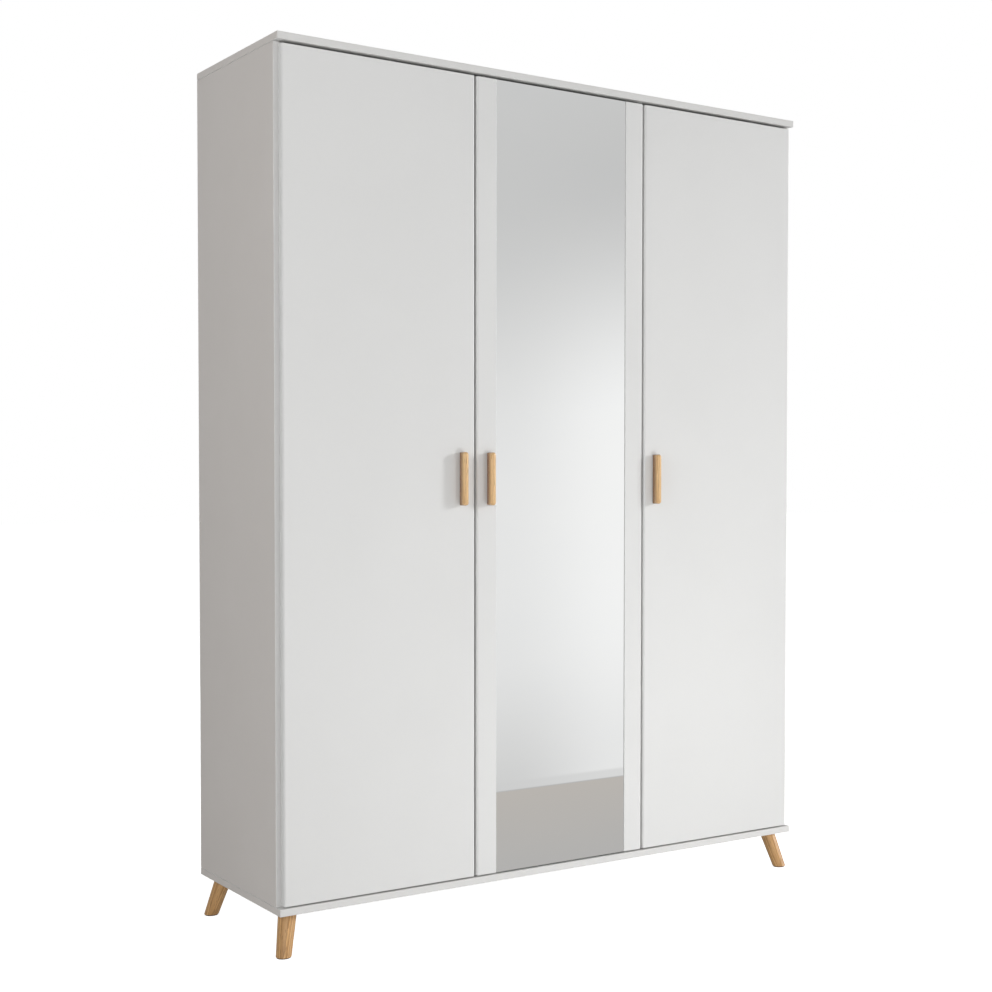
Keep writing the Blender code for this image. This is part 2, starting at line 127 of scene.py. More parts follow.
# Round, oval or stadium rings stacked along an axis:
# point = centre + along, halfA*cos t, halfB*sin t + straight*sign(sin t).
def roundPart(centre, along, halfA, halfB=None, axis=2, straight=0.0, steps=64, loop=False):
    along = np.asarray(along, float)[:, None]
    halfA = np.asarray(halfA, float)[:, None]
    halfB = halfA if halfB is None else np.asarray(halfB, float)[:, None]
    t = 2 * math.pi * (np.arange(steps) + 0.5)[None] / steps
    rings = np.empty((len(along), steps, 3))
    rings[..., axis] = along
    rings[..., (axis + 1) % 3] = halfA * np.cos(t)
    rings[..., (axis + 2) % 3] = halfB * np.sin(t) + straight * np.sign(np.sin(t))
    centre = np.asarray(centre, float)
    return skin(rings + (centre[:, None] if centre.ndim == 2 else centre), loop)


# A cross-recessed screw head: a flat dome whose middle drops into a cross. The cross is
# the wider, in each direction, of two crossed slots: r = max of the two slots' reach.
def screwPart(centre, axis, sign, size):
    steps = 24
    t = 2 * math.pi * np.arange(steps) / steps
    c, s = np.maximum(np.abs(np.cos(t)), 1e-6), np.maximum(np.abs(np.sin(t)), 1e-6)
    reach, half = size["radius"] * 0.62, size["radius"] * 0.16
    cross = np.maximum(np.minimum(reach / c, half / s), np.minimum(half / c, reach / s))
    disc = np.full(steps, size["radius"])
    radius = np.stack([disc * 0.98, disc, disc * 0.93, disc * 0.74, cross, cross * 0.9])
    lift = np.array([0.0, 0.35, 0.75, 1.0, 0.92, -0.1])[:, None] * size["height"]
    rings = np.empty((6, steps, 3))
    rings[..., axis] = sign * lift
    rings[..., (axis + 1) % 3] = radius * np.cos(t)
    rings[..., (axis + 2) % 3] = radius * np.sin(t)
    return skin(rings + np.asarray(centre, float))


# One mesh from several closed parts. Each part's faces are turned outwards first:
# its signed volume, the sum of area * (middle . normal) / 3, has to be positive.
def meshOf(name, parts):
    points, faces, start = [], [], 0
    for spots, sides in parts:
        probe = bpy.data.meshes.new("probe")
        probe.from_pydata(spots, [], sides)
        count = len(probe.polygons)
        middle, normal, area = np.empty(count * 3), np.empty(count * 3), np.empty(count)
        probe.polygons.foreach_get("center", middle)
        probe.polygons.foreach_get("normal", normal)
        probe.polygons.foreach_get("area", area)
        about = spots.mean(0)
        facing = ((middle.reshape(-1, 3) - about) * normal.reshape(-1, 3)).sum(1)
        if (facing * area).sum() < 0:
            sides = [side[::-1] for side in sides]
        bpy.data.meshes.remove(probe)
        points.append(spots)
        faces += [[start + corner for corner in side] for side in sides]
        start += len(spots)
    mesh = bpy.data.meshes.new(name)
    mesh.from_pydata(np.concatenate(points), [], faces)
    return mesh


def linked(name, mesh):
    obj = bpy.data.objects.new(name, mesh)
    bpy.context.scene.collection.objects.link(obj)
    return obj


# Takes closed parts out of a piece and keeps the cut mesh.
def cutAway(obj, parts):
    cutter = linked("cutter", meshOf("cutter", parts))
    modifier = obj.modifiers.new("cut", "BOOLEAN")
    modifier.operation, modifier.solver, modifier.object = "DIFFERENCE", "EXACT", cutter
    bpy.context.view_layer.update()
    found = obj.evaluated_get(bpy.context.evaluated_depsgraph_get())
    cutMesh = bpy.data.meshes.new_from_object(found)
    obj.modifiers.clear()
    whole, obj.data = obj.data, cutMesh
    cutMesh.name = obj.name
    for spare in (whole, cutter.data):
        bpy.data.meshes.remove(spare)


# Finishes a piece: soft shading that stays flat on flat faces, its finish, its body and the
# CAD parts that it stands for, which it hides. The slot that it is given is not used.
def place(obj, materials, body, slot, nodes=(), softAngle=35.0):
    for material in materials:
        obj.data.materials.append(material)
    obj.data.shade_smooth()
    obj.data.set_sharp_from_angle(angle=math.radians(softAngle))
    weighted = obj.modifiers.new("flatFaces", "WEIGHTED_NORMAL")
    weighted.keep_sharp, weighted.weight = True, 100
    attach(obj, body)
    if nodes:
        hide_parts(*nodes)


# Gives the second finish to faces whose normal points the given way.
def paintSide(mesh, axis, sign, index):
    normal = np.empty(len(mesh.polygons) * 3)
    mesh.polygons.foreach_get("normal", normal)
    chosen = np.zeros(len(mesh.polygons), np.int32)
    mesh.polygons.foreach_get("material_index", chosen)
    chosen[normal.reshape(-1, 3)[:, axis] * sign > 0.9] = index
    mesh.polygons.foreach_set("material_index", chosen)


# Adds a node. A socket given as an input is linked, anything else is set as its value.
# Inputs go by name, or by place as i0, i1 and so on.
def put(tree, kind, settings=None, **inputs):
    node = tree.nodes.new("ShaderNode" + kind)
    node.location = (len(tree.nodes) * 170 - 900, (len(tree.nodes) % 3) * 160)
    for key, value in (settings or {}).items():
        setattr(node, key, value)
    for key, value in inputs.items():
        socket = node.inputs[int(key[1:])] if key[0] == "i" and key[1:].isdigit() else node.inputs[key]
        if isinstance(value, bpy.types.NodeSocket):
            tree.links.new(value, socket)
        else:
            socket.default_value = value
    return node


def sumOf(tree, operation, a, b=0.0, c=0.0):
    return put(tree, "Math", {"operation": operation}, i0=a, i1=b, i2=c).outputs[0]


# Maps a value from one range to another with soft ends.
def eased(tree, value, low, high, toLow=0.0, toHigh=1.0):
    soft = {"interpolation_type": "SMOOTHSTEP"}
    return put(tree, "MapRange", soft, i0=value, i1=low, i2=high, i3=toLow, i4=toHigh).outputs[0]


def mixed(tree, factor, a, b):
    node = tree.nodes.new("ShaderNodeMix")
    node.data_type = "RGBA"
    for socket, value in ((node.inputs[0], factor), (node.inputs[6], a), (node.inputs[7], b)):
        if isinstance(value, bpy.types.NodeSocket):
            tree.links.new(value, socket)
        else:
            socket.default_value = value
    return node.outputs[2]


def noise(tree, vector, scale, detail=2.0, rough=0.5):
    node = put(tree, "TexNoise", None, Vector=vector, Scale=scale, Detail=detail, Roughness=rough)
    return node.outputs["Fac"]


def stretched(tree, vector, scale):
    node = put(tree, "Mapping", None, Vector=vector, Scale=scale)
    return node.outputs["Vector"]


def ramp(tree, value, stops, interpolation="LINEAR"):
    node = put(tree, "ValToRGB", None, Fac=value)
    band = node.color_ramp
    band.interpolation = interpolation
    while len(band.elements) < len(stops):
        band.elements.new(0.5)
    for element, (position, colour) in zip(band.elements, stops):
        element.position, element.color = position, (*colour, 1.0)
    return node.outputs["Color"]


# A new shader group with named sockets, its input node and its output node.
def shaderGroup(name, inputs, outputs):
    group = bpy.data.node_groups.new(name, "ShaderNodeTree")
    for label, kind, value in inputs:
        socket = group.interface.new_socket(name=label, in_out="INPUT", socket_type="NodeSocket" + kind)
        if value is not None:
            socket.default_value = value
    for label, kind in outputs:
        group.interface.new_socket(name=label, in_out="OUTPUT", socket_type="NodeSocket" + kind)
    return group, group.nodes.new("NodeGroupInput").outputs, group.nodes.new("NodeGroupOutput").inputs


# Roughness between a group's two gloss levels, by a value that wavers round one half.
def glossOf(tree, value, given):
    low, high = given["Gloss low"], given["Gloss high"]
    return put(tree, "MapRange", None, i0=value, i1=0.3, i2=0.7, i3=low, i4=high).outputs[0]


# Coated board: a broad, faint drift of tone, the fine peel of the coating, hazy patches in
# the sheen, and rims that are rubbed a little darker or lighter. A rim is where no
# component of the normal is near 1.
def makeCoatedBoard():
    tree, given, result = shaderGroup(
        "coatedBoard",
        [
            ("Vector", "Vector", None),
            ("Tone", "Color", (0.8, 0.8, 0.8, 1)),
            ("Drift", "Color", (0.75, 0.75, 0.74, 1)),
            ("Rim", "Color", (0.7, 0.7, 0.7, 1)),
            ("Rim amount", "Float", 0.5),
            ("Peel scale", "Float", 700.0),
            ("Gloss low", "Float", 0.3),
            ("Gloss high", "Float", 0.45),
        ],
        [("Colour", "Color"), ("Roughness", "Float"), ("Height", "Float"), ("Rim mask", "Float")],
    )
    vector = given["Vector"]
    drift = eased(tree, noise(tree, vector, 2.6, 3.0, 0.55), 0.35, 0.7, 0.0, 0.55)
    speck = eased(tree, noise(tree, vector, 160.0, 2.0), 0.3, 0.75, 0.0, 0.12)
    tone = mixed(tree, sumOf(tree, "ADD", drift, speck), given["Tone"], given["Drift"])
    normal = put(tree, "SeparateXYZ", None, Vector=put(tree, "TexCoord").outputs["Normal"]).outputs
    sides = [sumOf(tree, "ABSOLUTE", part) for part in normal]
    widest = sumOf(tree, "MAXIMUM", sumOf(tree, "MAXIMUM", sides[0], sides[1]), sides[2])
    rim = eased(tree, widest, 0.992, 0.86)
    rub = eased(tree, noise(tree, vector, 45.0, 4.0, 0.6), 0.3, 0.65, 0.35, 1.0)
    mask = sumOf(tree, "MULTIPLY", sumOf(tree, "MULTIPLY", rim, rub), given["Rim amount"])
    tree.links.new(mixed(tree, mask, tone, given["Rim"]), result["Colour"])
    haze = noise(tree, vector, 7.0, 5.0, 0.6)
    tree.links.new(glossOf(tree, haze, given), result["Roughness"])
    peel = noise(tree, vector, given["Peel scale"], 2.0, 0.45)
    wave = sumOf(tree, "MULTIPLY", noise(tree, vector, 60.0, 1.0), 0.5)
    tree.links.new(sumOf(tree, "ADD", peel, wave), result["Height"])
    tree.links.new(mask, result["Rim mask"])
    return tree


# Oiled oak: growth rings seen as long wavering lines, darker latewood, short open pores
# and pale flecks, all drawn out along the grain, which runs along Z of the given vector.
def makeOakGrain():
    tree, given, result = shaderGroup(
        "oakGrain",
        [
            ("Vector", "Vector", None),
            ("Early wood", "Color", (0.6, 0.36, 0.16, 1)),
            ("Late wood", "Color", (0.38, 0.2, 0.08, 1)),
            ("Pore", "Color", (0.12, 0.06, 0.03, 1)),
            ("Ring scale", "Float", 70.0),
            ("Pore amount", "Float", 0.7),
        ],
        [("Colour", "Color"), ("Roughness", "Float"), ("Height", "Float")],
    )
    vector = given["Vector"]
    long = stretched(tree, vector, (1.0, 1.0, 0.09))
    rings = put(
        tree, "TexWave",
        {"wave_type": "RINGS", "rings_direction": "Z", "wave_profile": "SAW"},
        Vector=long, Scale=given["Ring scale"], Distortion=5.0, Detail=3.0,
    ).outputs["Fac"]
    rings.node.inputs["Detail Scale"].default_value = 1.4
    streak = noise(tree, stretched(tree, vector, (260.0, 260.0, 9.0)), 1.0, 4.0, 0.6)
    late = sumOf(tree, "ADD", sumOf(tree, "MULTIPLY", rings, 0.62), sumOf(tree, "MULTIPLY", streak, 0.45))
    wood = mixed(tree, eased(tree, late, 0.15, 0.95), given["Early wood"], given["Late wood"])
    broad = noise(tree, stretched(tree, vector, (38.0, 38.0, 5.0)), 1.0, 2.0)
    wood = mixed(tree, eased(tree, broad, 0.4, 0.75, 0.0, 0.35), wood, given["Late wood"])
    pore = noise(tree, stretched(tree, vector, (900.0, 900.0, 42.0)), 1.0, 2.0, 0.5)
    opened = sumOf(tree, "MULTIPLY", eased(tree, pore, 0.57, 0.7), given["Pore amount"])
    tree.links.new(mixed(tree, opened, wood, given["Pore"]), result["Colour"])
    gloss = sumOf(tree, "ADD", sumOf(tree, "MULTIPLY", opened, 0.3), sumOf(tree, "MULTIPLY", streak, 0.2))
    tree.links.new(sumOf(tree, "ADD", gloss, 0.3), result["Roughness"])
    tree.links.new(sumOf(tree, "SUBTRACT", sumOf(tree, "MULTIPLY", streak, 0.4), opened), result["Height"])
    return tree


# Plated metal: fine brushing along one way, cloudy handling marks and a few specks.
def makePlatedMetal():
    tree, given, result = shaderGroup(
        "platedMetal",
        [
            ("Vector", "Vector", None),
            ("Bright", "Color", (0.7, 0.7, 0.72, 1)),
            ("Dull", "Color", (0.5, 0.5, 0.5, 1)),
            ("Brush stretch", "Vector", (1.0, 1.0, 1.0)),
            ("Gloss low", "Float", 0.15),
            ("Gloss high", "Float", 0.35),
        ],
        [("Colour", "Color"), ("Roughness", "Float"), ("Height", "Float")],
    )
    product = {"operation": "MULTIPLY"}
    brushed = put(tree, "VectorMath", product, i0=given["Vector"], i1=given["Brush stretch"])
    lines = noise(tree, brushed.outputs[0], 1.0, 3.0, 0.6)
    cloud = noise(tree, given["Vector"], 55.0, 4.0, 0.6)
    speck = eased(tree, noise(tree, given["Vector"], 900.0, 1.0), 0.66, 0.74, 0.0, 0.5)
    wearAndShade = sumOf(tree, "ADD", eased(tree, cloud, 0.35, 0.75, 0.0, 0.6), speck)
    tree.links.new(mixed(tree, wearAndShade, given["Bright"], given["Dull"]), result["Colour"])
    mix = sumOf(tree, "ADD", sumOf(tree, "MULTIPLY", cloud, 0.6), sumOf(tree, "MULTIPLY", lines, 0.4))
    tree.links.new(glossOf(tree, mix, given), result["Roughness"])
    tree.links.new(lines, result["Height"])
    return tree


coatedBoard, oakGrain, platedMetal = makeCoatedBoard(), makeOakGrain(), makePlatedMetal()


# A material with its Principled shader, the piece's own coordinates and plain settings.
def newFinish(name, **plain):
    material = bpy.data.materials.new(name)
    material.use_nodes = True
    tree = material.node_tree
    shader = tree.nodes["Principled BSDF"]
    for key, value in plain.items():
        shader.inputs[key].default_value = value
    return material, tree, shader, put(tree, "TexCoord").outputs["Object"]


# Gives a shader its colour, its roughness and a bump made from a height.
def feed(tree, shader, colour, rough, height, strength, distance):
    bump = put(tree, "Bump", None, Strength=strength, Distance=distance, Height=height)
    tree.links.new(colour, shader.inputs["Base Color"])
    tree.links.new(rough, shader.inputs["Roughness"])
    tree.links.new(bump.outputs["Normal"], shader.inputs["Normal"])


# Places a shared group in a material and feeds the shader from it.
def useGroup(tree, shader, group, values, strength, distance):
    node = tree.nodes.new("ShaderNodeGroup")
    node.node_tree = group
    node.location = (-420, 80)
    for key, value in values.items():
        if isinstance(value, bpy.types.NodeSocket):
            tree.links.new(value, node.inputs[key])
        else:
            node.inputs[key].default_value = value
    made = node.outputs
    feed(tree, shader, made["Colour"], made["Roughness"], made["Height"], strength, distance)
    return node


def rgb(*grey):
    values = grey if len(grey) == 3 else grey * 3
    return (*values, 1.0)


def boardFinish(name, look):
    material, tree, shader, spot = newFinish(name, IOR=1.46)
    values = {
        "Vector": spot, "Tone": rgb(*look["tone"]), "Drift": rgb(*look["drift"]),
        "Rim": rgb(*look["rim"]), "Rim amount": look["rimAmount"], "Peel scale": look["peel"],
        "Gloss low": look["gloss"][0], "Gloss high": look["gloss"][1],
    }
    useGroup(tree, shader, coatedBoard, values, look["bump"], 0.0002)
    return material


doorLook = {
    "tone": (0.80, 0.80, 0.79), "drift": (0.775, 0.775, 0.765), "rim": (0.84, 0.84, 0.83),
    "rimAmount": 0.5, "peel": 620.0, "gloss": (0.42, 0.55), "bump": 0.12,
}
caseLook = {
    "tone": (0.77, 0.765, 0.75), "drift": (0.745, 0.74, 0.725), "rim": (0.80, 0.79, 0.775),
    "rimAmount": 0.6, "peel": 480.0, "gloss": (0.46, 0.62), "bump": 0.18,
}
# painted shade: a darker, warmer copy of the case white for the side panels and the ends of top and bottom
shadedSideLook = dict(caseLook, tone=(0.755, 0.718, 0.685), drift=(0.725, 0.687, 0.652), rim=(0.79, 0.775, 0.76))
stripLook = {
    "tone": (0.66, 0.66, 0.65), "drift": (0.62, 0.62, 0.61), "rim": (0.7, 0.7, 0.69),
    "rimAmount": 0.4, "peel": 1400.0, "gloss": (0.35, 0.5), "bump": 0.1,
}
backLook = {
    "tone": (0.72, 0.715, 0.70), "drift": (0.68, 0.675, 0.66), "rim": (0.5, 0.42, 0.33),
    "rimAmount": 0.8, "peel": 300.0, "gloss": (0.5, 0.65), "bump": 0.25,
}
doorWhite = boardFinish("doorWhite", doorLook)
caseWhite = boardFinish("caseWhite", caseLook)
sideWhite = boardFinish("sideWhite", shadedSideLook)
# the edge band's white, made paler than the doors: partly its own colour, partly painted light on the side
# panels' front strips
edgeBandLitWhite = boardFinish("edgeBandLitWhite", dict(doorLook, tone=(0.86, 0.855, 0.845), drift=(0.84, 0.835, 0.825)))
stripWhite = boardFinish("stripWhite", stripLook)
backWhite = boardFinish("backWhite", backLook)


# Raw rear of the thin boards: pressed fibres, mottled brown with a screen pattern.
def makeRawFibre():
    material, tree, shader, spot = newFinish("rawFibre")
    fibre = noise(tree, stretched(tree, spot, (700.0, 90.0, 430.0)), 1.0, 5.0, 0.65)
    blot = noise(tree, spot, 22.0, 5.0, 0.65)
    brown = mixed(tree, eased(tree, blot, 0.25, 0.75), rgb(0.335, 0.235, 0.15), rgb(0.30, 0.205, 0.13))
    brown = mixed(tree, eased(tree, fibre, 0.52, 0.74, 0.0, 0.5), brown, rgb(0.42, 0.31, 0.21))
    rough = eased(tree, fibre, 0.3, 0.7, 0.72, 0.9)
    screen = put(tree, "TexWave", {"bands_direction": "DIAGONAL"}, Vector=spot, Scale=330.0, Distortion=1.0)
    height = sumOf(tree, "ADD", sumOf(tree, "MULTIPLY", screen.outputs["Fac"], 0.4), fibre)
    feed(tree, shader, brown, rough, height, 0.35, 0.0004)
    return material


# Oak for one piece: the pattern is centred beside the piece and its grain leans with it.
# A piece with "shade" gets painted shade: it darkens towards the door, where it stands in
# its own shade, from none at the first Y to full at the second, broken up by noise.
def oakFinish(name, centre, lean, look):
    material, tree, shader, spot = newFinish(name, IOR=1.47)
    centred = put(tree, "VectorMath", {"operation": "SUBTRACT"}, i0=spot, i1=tuple(centre))
    turned = put(tree, "Mapping", None, Vector=centred.outputs[0], Rotation=lean, Location=look["heart"])
    values = {
        "Vector": turned.outputs["Vector"], "Early wood": rgb(*look["early"]),
        "Late wood": rgb(*look["late"]), "Pore": rgb(*look["pore"]),
        "Ring scale": look["rings"], "Pore amount": look["pores"],
    }
    node = useGroup(tree, shader, oakGrain, values, look["bump"], 0.0003)
    # painted shade: darker towards the door
    if "shade" in look:
        depth = put(tree, "SeparateXYZ", None, Vector=spot).outputs[1]
        shadeNoise = noise(tree, spot, 160.0, 3.0)
        wearAndShade = eased(tree, shadeNoise, 0.2, 0.6, 0.75, 0.95)
        shade = sumOf(tree, "MULTIPLY", eased(tree, depth, *look["shade"]), wearAndShade)
        dark = mixed(tree, shade, node.outputs["Colour"], rgb(*look["shadeTone"]))
        tree.links.new(dark, shader.inputs["Base Color"])
    shader.inputs["Coat Weight"].default_value = look["coat"]
    shader.inputs["Coat Roughness"].default_value = 0.26
    shader.inputs["Coat IOR"].default_value = 1.6
    return material


def metalFinish(name, look):
    material, tree, shader, spot = newFinish(name, Metallic=1.0)
    values = {
        "Vector": spot, "Bright": rgb(*look["bright"]), "Dull": rgb(*look["dull"]),
        "Brush stretch": look["brush"], "Gloss low": look["gloss"][0], "Gloss high": look["gloss"][1],
    }
    useGroup(tree, shader, platedMetal, values, look["bump"], 0.0001)
    return material


nickelLook = {
    "bright": (0.66, 0.65, 0.63), "dull": (0.5, 0.49, 0.47), "brush": (1500.0, 1500.0, 90.0),
    "gloss": (0.22, 0.36), "bump": 0.15,
}
chromeLook = {
    "bright": (0.78, 0.79, 0.8), "dull": (0.68, 0.69, 0.7), "brush": (25.0, 1800.0, 1800.0),
    "gloss": (0.06, 0.16), "bump": 0.05,
}
hingeNickel = metalFinish("hingeNickel", nickelLook)
railChrome = metalFinish("railChrome", chromeLook)


# Silvered glass: a clean mirror with the faintest haze of wiping marks.
def makeSilvered():
    material, tree, shader, spot = newFinish("silveredGlass", Metallic=1.0)
    wipe = noise(tree, stretched(tree, spot, (3.0, 1.0, 7.0)), 1.0, 5.0, 0.6)
    tint = mixed(tree, eased(tree, wipe, 0.3, 0.7), rgb(0.885, 0.89, 0.885), rgb(0.875, 0.882, 0.88))
    rough = eased(tree, wipe, 0.45, 0.8, 0.012, 0.035)
    feed(tree, shader, tint, rough, noise(tree, spot, 1.6, 1.0), 0.01, 0.002)
    return material


# Ground edge of the glass, a dull bottle green, which also covers the back behind the silver.
def makeGlassEdge():
    material, tree, shader, spot = newFinish("groundGlassEdge", IOR=1.52)
    grind = noise(tree, stretched(tree, spot, (600.0, 600.0, 30.0)), 1.0, 3.0)
    tint = mixed(tree, eased(tree, grind, 0.3, 0.7), rgb(0.20, 0.30, 0.26), rgb(0.32, 0.42, 0.38))
    feed(tree, shader, tint, eased(tree, grind, 0.3, 0.7, 0.2, 0.4), grind, 0.2, 0.0002)
    return material


def makeFelt():
    material, tree, shader, spot = newFinish("glideFelt")
    nap = noise(tree, spot, 1600.0, 4.0, 0.7)
    tint = mixed(tree, eased(tree, nap, 0.3, 0.7), rgb(0.045, 0.038, 0.032), rgb(0.12, 0.10, 0.085))
    feed(tree, shader, tint, eased(tree, nap, 0.3, 0.7, 0.85, 1.0), nap, 0.8, 0.0006)
    return material


rawFibre, silvered, glassEdge, glideFelt = makeRawFibre(), makeSilvered(), makeGlassEdge(), makeFelt()
print("finishes made:", len(bpy.data.materials))


caseBoards = {
    "edge": 1.3 * millimetre,     # softened edge of the edge band
    "slack": 0.3 * millimetre,    # room round the back in its groove
    "past": 10 * millimetre,      # how far the groove's cutter runs past a board
    # each CAD part's piece and the axis that it runs along
    "boards": {
        "top_panel": ("topPanel", 0),
        "bottom_panel": ("bottomPanel", 0),
        "side_panel_left": ("sidePanelLeft", 2),
        "side_panel_right": ("sidePanelRight", 2),
        "partition_panel": ("partition", 2),
        "hat_shelf": ("hatShelf", 0),
        "shelf_1": ("shelf1", 0),
        "shelf_2": ("shelf2", 0),
        "shelf_3": ("shelf3", 0),
        "shelf_4": ("shelf4", 0),
    },
}


# The groove that holds the back runs inside the top, the bottom and both sides.
def grooveParts(node):
    backLow, backHigh = cornersOf("back_panel_left")
    rightHigh = cornersOf("back_panel_right")[1]
    low, high = cornersOf(node)
    slack, past = caseBoards["slack"], caseBoards["past"]
    front, rear = backLow[1] - slack, backHigh[1] + slack
    left, right = backLow[0] - slack, rightHigh[0] + slack
    under, over = backLow[2] - slack, rightHigh[2] + slack
    ranges = {
        "top_panel": ((left, front, low[2] - past), (right, rear, over)),
        "bottom_panel": ((left, front, under), (right, rear, high[2] + past)),
        "side_panel_left": ((left, front, low[2] - past), (high[0] + past, rear, high[2] + past)),
        "side_panel_right": ((low[0] - past, front, low[2] - past), (right, rear, high[2] + past)),
    }
    return [boardPart(*ranges[node], 2)] if node in ranges else []


def makeCaseBoards():
    for node, (name, axis) in caseBoards["boards"].items():
        low, high = cornersOf(node)
        obj = linked(name, meshOf(name, [boardPart(low, high, axis, caseBoards["edge"])]))
        cuts = grooveParts(node)
        if cuts:
            cutAway(obj, cuts)
        if node.startswith("side"):
            # painted shade on the side panels; their front edges take the paler edge white
            finishes = [sideWhite, edgeBandLitWhite]
            paintSide(obj.data, 1, -1, 1)
        elif node in ("top_panel", "bottom_panel"):
            # painted shade on the ends of top and bottom, as on the sides
            finishes = [caseWhite, sideWhite]
            paintSide(obj.data, 0, -1, 1)
            paintSide(obj.data, 0, 1, 1)
        else:
            finishes = [caseWhite]
        place(obj, finishes, "case", "white_board", [node])


# Thin boards: white foil inside, raw fibre at the rear.
def makeBack():
    for side in ("left", "middle", "right"):
        node = "back_panel_" + side
        low, high = cornersOf(node)
        name = "backBoard" + side.capitalize()
        mesh = meshOf(name, [boardPart(low, high, 2, 0.25 * millimetre, 2)])
        paintSide(mesh, 1, 1, 1)
        place(linked(name, mesh), [backWhite, rawFibre], "case", "back_hardboard", [node])


joiningStrip = {"flange": 1.0 * millimetre, "web": 0.4 * millimetre, "edge": 0.28 * millimetre}


# The joining strips have an H section, carried up the joint between two thin boards.
def makeStrips():
    for side in ("left", "right"):
        node = "back_strip_" + side
        low, high = cornersOf(node)
        x, web, flange = (low[0] + high[0]) / 2, joiningStrip["web"], joiningStrip["flange"]
        front, rear = low[1] + flange, high[1] - flange
        corners = [
            (low[0], low[1]), (high[0], low[1]), (high[0], front), (x + web, front),
            (x + web, rear), (high[0], rear), (high[0], high[1]), (low[0], high[1]),
            (low[0], rear), (x - web, rear), (x - web, front), (low[0], front),
        ]
        soft = joiningStrip["edge"]
        radii = [soft, soft, soft, 0, 0, soft, soft, soft, soft, 0, 0, soft]
        name = "backStrip" + side.capitalize()
        part = pulled(softOutline(corners, radii, 2), 2, low[2], high[2])
        place(linked(name, meshOf(name, [part])), [stripWhite], "case", "strip_plastic", [node])


shelfPin = {
    "radius": 2.5 * millimetre,
    "collar": 4.2 * millimetre,   # radius of the collar
    "thick": 1.6 * millimetre,    # thickness of the collar
    "reach": 9 * millimetre,
    "inset": 45 * millimetre,     # from the shelf's front or rear edge
    "gap": 0.2 * millimetre,      # between pin and shelf
}


# Shelf pins: a collar against the side, a bar under the shelf and a rounded tip.
def makeShelfPins():
    parts = []
    r, c, reach, thick = (shelfPin[key] for key in ("radius", "collar", "reach", "thick"))
    along = np.array([0.0, thick * 0.75, thick, thick, reach - 0.001, reach - 0.0003, reach])
    radius = [c * 0.98, c, c * 0.92, r, r, r * 0.85, r * 0.5]
    for node in ("shelf_1", "shelf_2", "shelf_3", "shelf_4", "hat_shelf"):
        low, high = cornersOf(node)
        for x, sign in ((low[0], 1), (high[0], -1)):
            for y in (low[1] + shelfPin["inset"], high[1] - shelfPin["inset"]):
                centre = (x, y, low[2] - r - shelfPin["gap"])
                parts.append(roundPart(centre, sign * along, radius, axis=0, steps=24))
    place(linked("shelfPins", meshOf("shelfPins", parts)), [hingeNickel], "case", "hardware_steel")


rail = {
    "wall": 1.2 * millimetre,
    "soft": 0.3 * millimetre,           # rounding of the tube's rims
    "flange": 2.5 * millimetre,         # thickness of the socket's flange
    "margin": 11 * millimetre,          # how far the flange reaches past the rail
    "cup": 12 * millimetre,
    "cupWall": 2.0 * millimetre,
    "grip": 0.3 * millimetre,           # room between rail and socket
    "screwOut": 6.7 * millimetre,       # from the rail to the screw's centre
    "screw": {"radius": 3.0 * millimetre, "height": 0.8 * millimetre},
}


# The clothes rail is an oval tube: the outer skin goes along it and the inner one comes back.
def makeRail():
    low, high = cornersOf("clothes_rail")
    middle, half = (low + high) / 2, (high - low) / 2
    straight, wall, soft = half[2] - half[1], rail["wall"], rail["soft"]
    outward = [soft - half[0], half[0] - soft, half[0], half[0]]
    along = np.concatenate([outward, -np.array(outward)])
    inset = [0, 0, soft, wall - soft, wall, wall, wall - soft, soft]
    radius = half[1] - np.array(inset)
    tube = roundPart(middle, along, radius, axis=0, straight=straight, steps=72, loop=True)
    piece = linked("clothesRail", meshOf("clothesRail", [tube]))
    place(piece, [railChrome], "case", "rail_chrome", ["clothes_rail"])
    for side, inward in (("left", 1), ("right", -1)):
        makeRailSocket(side, inward, middle, half)


# A socket: out over the flange, along the cup, in at its mouth and down to its floor.
def makeRailSocket(side, inward, middle, half):
    node = "rail_socket_" + side
    low, high = cornersOf(node)
    face = low[0] if inward > 0 else high[0]
    flange, margin, grip = rail["flange"], rail["margin"], rail["grip"]
    mouth, floor, shell = flange + rail["cup"], flange + grip, grip + rail["cupWall"]
    rings = np.array([
        (0.0, margin), (flange - 0.0008, margin), (flange - 0.0002, margin - 0.0003),
        (flange, margin - 0.0009), (flange, shell + 0.0006), (flange + 0.0006, shell),
        (mouth - 0.0005, shell), (mouth, shell - 0.0005), (mouth, grip + 0.0005),
        (mouth - 0.0005, grip), (floor, grip),
    ])
    centre = (face, middle[1], middle[2])
    radius = half[1] + rings[:, 1]
    straight = half[2] - half[1]
    parts = [roundPart(centre, inward * rings[:, 0], radius, axis=0, straight=straight, steps=72)]
    for up in (-1, 1):
        spot = (face + inward * flange, middle[1], middle[2] + up * (half[2] + rail["screwOut"]))
        parts.append(screwPart(spot, 0, inward, rail["screw"]))
    name = "railSocket" + side.capitalize()
    place(linked(name, meshOf(name, parts)), [hingeNickel], "case", "hardware_steel", [node])


makeCaseBoards()
makeBack()
makeStrips()
makeShelfPins()
makeRail()
print("case made")


leg = {
    "topRadius": 20.2 * millimetre,
    "footRadius": 16.8 * millimetre,
    "footEdge": 0.7 * millimetre,
    "topEdge": 0.8 * millimetre,
    "bore": 4.3 * millimetre,
    "boreDepth": 40 * millimetre,
}
legLook = {
    "early": (0.78, 0.47, 0.20), "late": (0.44, 0.22, 0.075), "pore": (0.15, 0.07, 0.025),
    "rings": 62.0, "pores": 0.55, "bump": 0.35, "coat": 0.25, "heart": (0.035, 0.05, 0.0),
}


